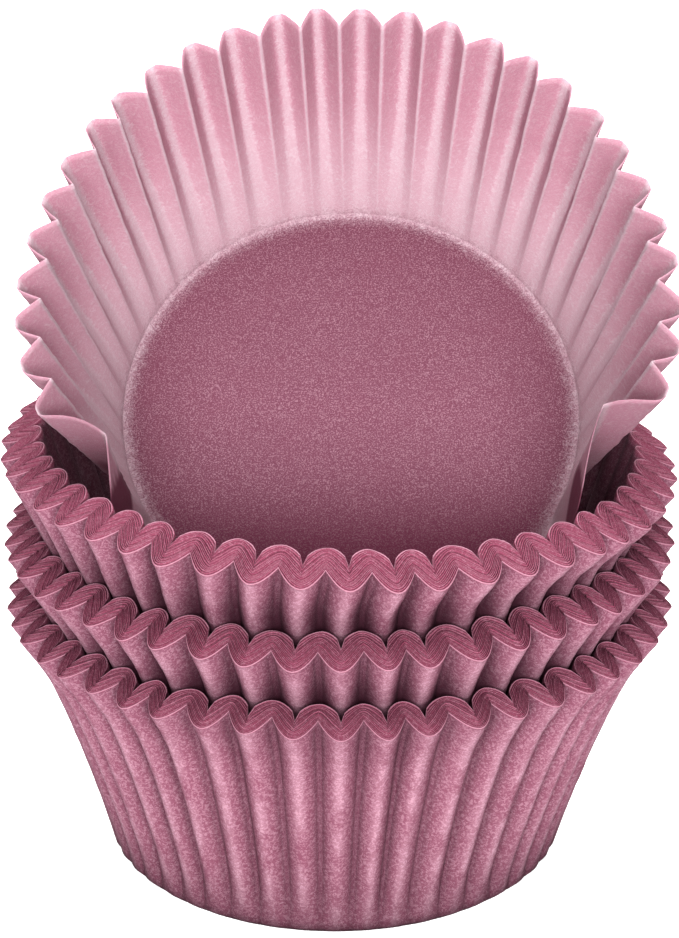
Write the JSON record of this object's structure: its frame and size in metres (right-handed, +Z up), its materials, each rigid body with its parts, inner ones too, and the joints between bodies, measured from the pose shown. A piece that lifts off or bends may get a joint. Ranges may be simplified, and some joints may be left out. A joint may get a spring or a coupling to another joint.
{
  "type": "stack of cupcake liners",
  "caption": "Nested packs of pleated paper cupcake liners standing upright, with one open liner leaning in the topmost.",
  "frame": {"origin": "middle of the base of the bottom pack, on the surface it stands on", "axes": "+Z up; -Y towards the viewer of the picture, the side that the open liner faces; +X to the viewer's right"},
  "size_m": [0.0728, 0.0728, 0.0906],
  "materials": {
    "paper": "matt greaseproof paper",
    "loose_paper": "matt greaseproof paper, slightly translucent"
  },
  "bodies": {
    "root": {"bottom_pack": "paper", "middle_pack": "paper", "top_pack": "paper", "loose_liner": "loose_paper"}
  },
  "joints": []
}
